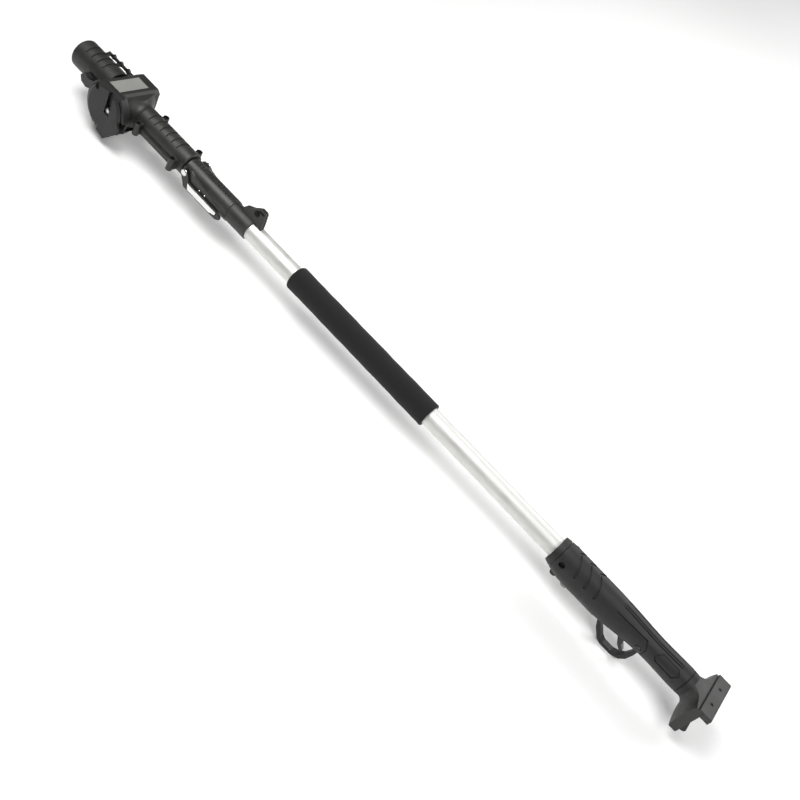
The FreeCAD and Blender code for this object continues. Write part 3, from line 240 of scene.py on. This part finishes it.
# Hard copper bars, turned smooth and a little tarnished.
dress(metal("turned commutator copper", "#c98a63", "#9a5f40",
            roughness=0.3, line_along="yz", line_apart=0.4, relief=0.01), "commutator")
# The fan is plain black nylon, smoother than the housing.
dress(moulded("smooth black nylon", "#1d1d1e", "#303031", roughness=0.4, grain=0.4, relief=0.01),
      "cooling_fan")
# Ground bearing and shaft steel: bright, with fine lines round the motor's axis.
ground_steel = metal("ground bearing steel", "#bfc1c4", "#9b9da1",
                     roughness=0.22, line_along="yz", line_apart=0.3, relief=0.006)
dress(ground_steel, "motor_bearings", "motor_shaft", "output_bearings")

# ---------------------------------------------------------------------------
# Gear train: hardened pinion on the motor shaft, crown gear on the output shaft, then
# the chain sprocket and its spring clip. Cut teeth keep a darker, oiled skin.
gear_steel = metal("hobbed and oiled gear steel", "#85837f", "#5c5a57",
                   roughness=0.33, line_along="y", line_apart=0.5, relief=0.015)
dress(gear_steel, "drive_pinion", "crown_gear", "chain_sprocket")
dress(ground_steel, "output_shaft")
# Phosphated spring steel, blue-black.
dress(metal("phosphated spring steel", "#3a3b40", "#26272b",
            roughness=0.4, line_along="yz", line_apart=0.5, relief=0.01), "sprocket_clip")

# ---------------------------------------------------------------------------
# Gearbox: one nylon case with its flare to the neck. A satin inset panel closes its
# top; bar plate, stud and flanged nut are plated steel, and hold a guide bar when one is
# fitted.
dress(head_nylon, "gearbox_case")
# The panel is a paler satin nylon, smoother than the case.
dress(moulded("satin grey nylon panel", "#7b7b77", "#8a8a86",
              roughness=0.4, grain=0.6, relief=0.02), "top_panel")
# Zinc plating: bright, slightly blue, with soft rolling marks.
zinc = metal("bright zinc-plated steel", "#d5d8dc", "#b4b8be",
             roughness=0.24, line_along="x", line_apart=0.6, relief=0.008)
dress(zinc, "bar_plate", "bar_stud")
# The nut has lost its shine to the spanner, and its colour is darkened as painted shade for the
# shade of its recess.
dress(metal("worn zinc-plated steel, darkened as painted shade", "#6f7174", "#46484b",
            roughness=0.38, line_along="z", line_apart=0.6, relief=0.012), "cover_nut")

# ---------------------------------------------------------------------------
# Sprocket cover: a nylon cup with a broad chamfer, held by the bar nut and one black
# screw. It is the same material as the case, from another tool, a shade darker.
cover_nylon = moulded("spark-grained glass-filled nylon, charcoal", "#0a0a09", "#181716",
                      roughness=0.56, grain=0.6, relief=0.05)
dress(cover_nylon, "sprocket_cover")
# Black oxide on steel screws: deep brown-black with a thin oil shine.
black_oxide = metal("black oxide steel", "#2b2a2a", "#191919",
                    roughness=0.36, line_along="z", line_apart=0.6, relief=0.01)
dress(black_oxide, "cover_screw")

# ---------------------------------------------------------------------------
# Toothed rail and limb hook: both moulded like the head, but black, and a little glossier
# because branches rub them.
rail_nylon = moulded("rubbed black nylon", "#0a0a0a", "#1c1c1b",
                     roughness=0.46, grain=0.5, relief=0.03)
dress(rail_nylon, "toothed_rail", "limb_hook")

# ---------------------------------------------------------------------------
# Neck: two nylon shells bolted round the slider with four screws through side lugs.
# Its surface is polished a little more than the case by hands and bark.
neck_nylon = moulded("fine-grained nylon, mid grey", "#191916", "#2e2e2a",
                     roughness=0.48, grain=0.6, relief=0.045)
dress(neck_nylon, "neck_upper_shell", "neck_lower_shell")
dress(black_oxide, "neck_screws")

# ---------------------------------------------------------------------------
# Tubes: satin anodised aluminium, drawn, so faint lines run along them. The slider
# rides inside the outer tube on an acetal bush. Anodising leaves them silky, not bright.
anodised = metal("satin silver anodised aluminium", "#dcdcd9", "#cfcfcb",
                 roughness=0.56, line_along="x", line_apart=1.2, relief=0.008)
dress(anodised, "inner_tube", "outer_tube")
# Acetal is white, dense and slightly waxy.
acetal = moulded("machined white acetal", "#e9e8e3", "#f4f3ef",
                 roughness=0.35, grain=0.5, relief=0.01)
dress(acetal, "guide_bush", "clamp_bush")

# ---------------------------------------------------------------------------
# Coiled lead from the switch to the motor: black PVC, wound round a rod so that a real
# one pays out as the head slides. It lies in the tubes; here it rides on the pole and
# keeps its length.
lead_low, lead_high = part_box("coiled_lead")
lead_axis = (lead_low + lead_high) / 2
coil_outer = (lead_high.y - lead_low.y) / 2
wire_radius = 1.2 * MM
wire_sides = 6
turn_pitch = 3.2 * MM
steps_per_turn = 8
coil_start = lead_low.x + wire_radius
coil_turns = int((lead_high.x - lead_low.x - 2 * wire_radius) / turn_pitch)
coil_form = bmesh.new()
ring = bmesh.ops.create_circle(coil_form, cap_ends=False, segments=wire_sides,
                               radius=wire_radius)["verts"]
bmesh.ops.rotate(coil_form, verts=ring, matrix=Matrix.Rotation(90 * DEGREE, 3, "X"))
bmesh.ops.translate(coil_form, verts=ring,
                    vec=(coil_start, lead_axis.y, lead_axis.z + coil_outer - wire_radius))
bmesh.ops.spin(coil_form, geom=coil_form.verts[:] + coil_form.edges[:],
               cent=(coil_start, lead_axis.y, lead_axis.z), axis=(1, 0, 0),
               dvec=(turn_pitch / steps_per_turn, 0, 0), angle=coil_turns * 2 * math.pi,
               steps=coil_turns * steps_per_turn, use_merge=False, use_duplicate=False)
bmesh.ops.holes_fill(coil_form, edges=[edge for edge in coil_form.edges if edge.is_boundary])
bmesh.ops.recalc_face_normals(coil_form, faces=coil_form.faces)


def shaped(name, form, material, body, *stands_for):
    """Turns a finished form into a piece that rides on a body and stands for CAD nodes."""
    mesh = bpy.data.meshes.new(name)
    form.to_mesh(mesh)
    form.free()
    mesh.materials.append(material)
    mesh.shade_smooth()
    mesh.set_sharp_from_angle(angle=40 * DEGREE)
    piece = bpy.data.objects.new(name, mesh)
    bpy.context.scene.collection.objects.link(piece)
    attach(piece, body)
    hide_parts(*stands_for)
    return piece


# Extruded PVC: no grain to speak of, so it shines softly along each turn.
pvc = moulded("extruded black PVC", "#161616", "#242424",
              roughness=0.38, grain=0.8, relief=0.01)
lead = shaped("coiled_lead_turns", coil_form, pvc, "pole", "coiled_lead")

# ---------------------------------------------------------------------------
# Flip-lock clamp: a slit nylon sleeve with a toothed ridge, two bright pins, rivets and
# a lever whose cams pull the sleeve shut. Brushed strips face the lever's arms. The
# sleeve's tool is polished finer than the head's, so its grey looks silkier.
clamp_nylon = moulded("semi-gloss nylon, smoke grey", "#1d1d1b", "#31312e",
                      roughness=0.42, grain=0.5, relief=0.03)
dress(clamp_nylon, "clamp_body")
dress(moulded("semi-gloss nylon, black", "#0b0b0a", "#1a1a19",
              roughness=0.42, grain=0.5, relief=0.03), "lock_lever")
# Turned and polished pin heads, nearly a mirror.
dress(metal("polished nickel-plated steel", "#e6e6e4", "#cfcfcd",
            roughness=0.14, line_along="yz", line_apart=0.4, relief=0.004),
      "clamp_pins", "clamp_rivets")
# Brushed aluminium strip, brushed along its length.
dress(metal("brushed aluminium strip", "#f2f2f1", "#dededc",
            roughness=0.3, line_along="x", line_apart=0.5, relief=0.01), "lever_strips")

# ---------------------------------------------------------------------------
# Strap collar: a nylon band split at the top, with the ears drawn together by a black
# screw and nut. The slot takes a shoulder strap. Its grain is close to that of the neck,
# which leaves it dull and even.
collar_nylon = moulded("grained nylon, slate grey", "#191917", "#2e2e2c",
                       roughness=0.5, grain=0.6, relief=0.04)
dress(collar_nylon, "collar_ring")
dress(black_oxide, "collar_screw", "collar_nut")

# ---------------------------------------------------------------------------
# Foam sleeve: closed-cell rubber foam pushed over the tube, skinned outside, with its
# front end rolled over. It gives a little, so its outline is never quite straight.
foam_low, foam_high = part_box("foam_grip")
foam_axis = (foam_low + foam_high) / 2
foam_radius = (foam_high.y - foam_low.y) / 2
foam_bore = 15.05 * MM
end_round = 4 * MM
end_lip = 0.3 * MM
end_steps = 6
wave_steps = 60
give = 0.12 * MM
quick_swing, slow_swing, slow_start = 0.9, 0.37, 1
rear_bevel, bevel_slope = 1.5, 0.7
sleeve_sides = 96
foam_form = bmesh.new()
profile = [foam_form.verts.new((foam_low.x + end_lip, 0, foam_bore)),
           foam_form.verts.new((foam_low.x, 0, foam_radius - end_round - end_lip))]
for step in range(1, end_steps + 1):
    sweep = step / end_steps * 90 * DEGREE
    profile.append(foam_form.verts.new((foam_low.x + end_round * (1 - math.cos(sweep)), 0,
                                        foam_radius - end_round * (1 - math.sin(sweep)))))
stretch = foam_high.x - foam_low.x - 2 * end_round
# The wave is never above 2, so the sleeve stays inside the outline it stands for.
for step in range(1, wave_steps):
    wave = math.sin(step * quick_swing) + math.sin(step * slow_swing + slow_start)
    profile.append(foam_form.verts.new((foam_low.x + end_round + stretch * step / wave_steps, 0,
                                        foam_radius + give * (wave - 2))))
# The rear end is cut with a knife, which leaves only a small bevel.
for inset in (rear_bevel, 0.5, 0.1):
    profile.append(foam_form.verts.new((foam_high.x - inset * MM, 0,
                                        foam_radius - (rear_bevel - inset) * bevel_slope * MM)))
profile.append(foam_form.verts.new((foam_high.x, 0, foam_bore)))
for start, end in zip(profile, profile[1:] + profile[:1]):
    foam_form.edges.new((start, end))
bmesh.ops.spin(foam_form, geom=foam_form.verts[:] + foam_form.edges[:], cent=(0, 0, 0),
               axis=(1, 0, 0), dvec=(0, 0, 0), angle=2 * math.pi, steps=sleeve_sides,
               use_merge=True, use_duplicate=False)
bmesh.ops.remove_doubles(foam_form, verts=foam_form.verts, dist=0.01 * MM)
bmesh.ops.translate(foam_form, verts=foam_form.verts, vec=(0, foam_axis.y, foam_axis.z))
bmesh.ops.recalc_face_normals(foam_form, faces=foam_form.faces)
# Cells of 0.9 mm under a thin skin, drawn twice their real size to show: dead matt, with a
# faint dusty sheen and pressed patches.
foam_cell = 0.9
pressed_patch = 12
foam_rubber, tree = blank("skinned closed-cell rubber foam")
place = add(tree, "TexCoord", {}, {}).outputs["Object"]
cells = add(tree, "TexVoronoi", {"feature": "SMOOTH_F1"},
            {"Vector": place, "Scale": 1 / (foam_cell * MM), "Smoothness": 0.6})
dust = add(tree, "TexNoise", {}, {"Vector": place, "Scale": 1 / (pressed_patch * MM),
                                  "Detail": 6, "Roughness": 0.7})
share = add(tree, "MapRange", {}, {"Value": dust.outputs["Fac"], "From Min": 0.35,
                                   "From Max": 0.7, "To Min": 0, "To Max": 1})
tint = add(tree, "Mix", {"data_type": "RGBA"}, {0: share.outputs[0], 6: linear("#040404"),
                                                7: linear("#090909")})
soft = add(tree, "Bump", {}, {"Strength": 0.7, "Distance": 0.12 * MM,
                              "Height": cells.outputs["Distance"]})
dent = add(tree, "Bump", {}, {"Strength": 0.5, "Distance": 0.4 * MM, "Height": dust.outputs["Fac"],
                              "Normal": soft.outputs["Normal"]})
skin = add(tree, "BsdfPrincipled", {}, {"Base Color": tint.outputs[2], "IOR": 1.5,
                                        "Roughness": 0.9, "Sheen Weight": 0.06,
                                        "Sheen Roughness": 0.5, "Normal": dent.outputs["Normal"]})
add(tree, "OutputMaterial", {}, {"Surface": skin.outputs[0]})
foam = shaped("foam_sleeve", foam_form, foam_rubber, "pole", "foam_grip")

# ---------------------------------------------------------------------------
# Trigger handle: two nylon halves bolted round the tube, with pressed-in chevrons and
# outlines. Hands have worn its fine grain, but it stays the darkest and dullest nylon.
handle_nylon = moulded("fine-grained nylon, black", "#070706", "#121211",
                       roughness=0.56, grain=0.6, relief=0.045)
dress(handle_nylon, "handle_left", "handle_right")
dress(black_oxide, "tube_bolt", "bolt_nut")
# A strip of polished nylon is let into the belly, and shows as a light line.
dress(moulded("polished pale nylon", "#83857f", "#9a9c96",
              roughness=0.36, grain=0.5, relief=0.01), "belly_strip")

# ---------------------------------------------------------------------------
# Trigger, its pin and spring, and the lock-off button across the handle: harder, shinier
# nylon on a steel pin. The switch and the board sit behind them.
switch_nylon = moulded("polished hard nylon, black", "#151516", "#2a2a2b",
                       roughness=0.3, grain=0.5, relief=0.012)
dress(switch_nylon, "trigger", "lock_off_button", "power_switch")
dress(ground_steel, "trigger_pin")
dress(metal("hard-drawn spring wire", "#a9abae", "#7d7f82",
            roughness=0.28, line_along="x", line_apart=0.3, relief=0.005), "trigger_spring")
# Glass-epoxy board under green solder mask: glossy, and mottled where the mask is thin.
dress(moulded("green solder mask on glass epoxy", "#12492c", "#1d6540",
              roughness=0.25, grain=1.2, relief=0.01), "control_board")

# ---------------------------------------------------------------------------
# Battery foot: a nylon flange with a recessed back, a screwed top lip, guide rails, a
# terminal block with brass blades and a rubber stop that cushions the pack. It is a shade
# lighter than the handle, with the same grain.
foot_nylon = moulded("grained nylon, iron grey", "#151513", "#292926",
                     roughness=0.48, grain=0.6, relief=0.045)
dress(foot_nylon, "battery_foot", "foot_top_plate")
dress(black_oxide, "foot_screws")
dress(switch_nylon, "battery_rails", "terminal_block")
# Rolled brass, stamped into blades: warm yellow, bright where the pack rubs it.
dress(metal("stamped terminal brass", "#c9a55c", "#a68443",
            roughness=0.3, line_along="z", line_apart=0.4, relief=0.006), "terminal_blades")
# Moulded rubber: soft black, no gloss, dusty in its hollows.
dress(moulded("moulded black rubber", "#131313", "#1f1f1f",
              roughness=0.62, grain=0.8, relief=0.03), "battery_stop")
